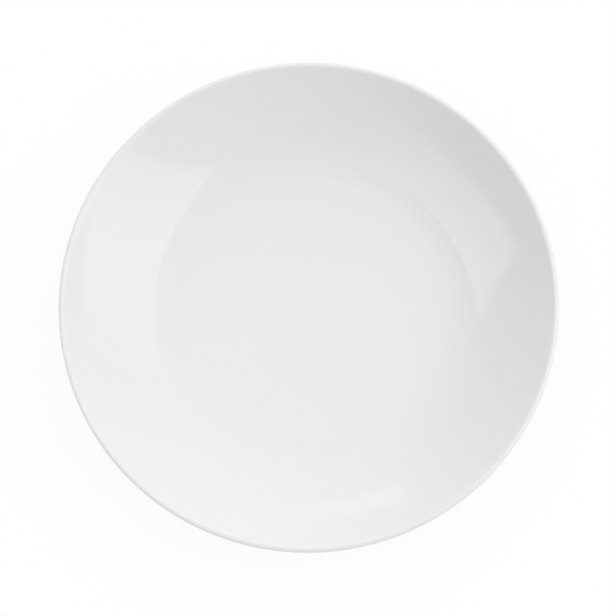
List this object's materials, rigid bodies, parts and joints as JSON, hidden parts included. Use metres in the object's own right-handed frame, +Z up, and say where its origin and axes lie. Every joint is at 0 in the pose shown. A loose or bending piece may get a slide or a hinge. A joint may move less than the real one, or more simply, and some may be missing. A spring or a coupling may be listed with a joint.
{
  "type": "deep plate",
  "caption": "Round deep plate without a flange: flat well, wall curving up to a thin rounded lip, low bare foot ring; white glazed porcelain for soup, pasta or salad.",
  "frame": {"origin": "middle of the foot ring, on the plane that the plate stands on", "axes": "+Z up along the axis of revolution, out of the bowl; X and Y are any two directions across it"},
  "size_m": [0.21, 0.21, 0.034],
  "materials": {
    "bisque": "matte, fine bare porcelain",
    "glaze": "glossy clear glaze over white porcelain"
  },
  "bodies": {
    "root": {"porcelain_body": "bisque", "glaze_coat": "glaze", "base_glaze": "glaze"}
  },
  "joints": []
}
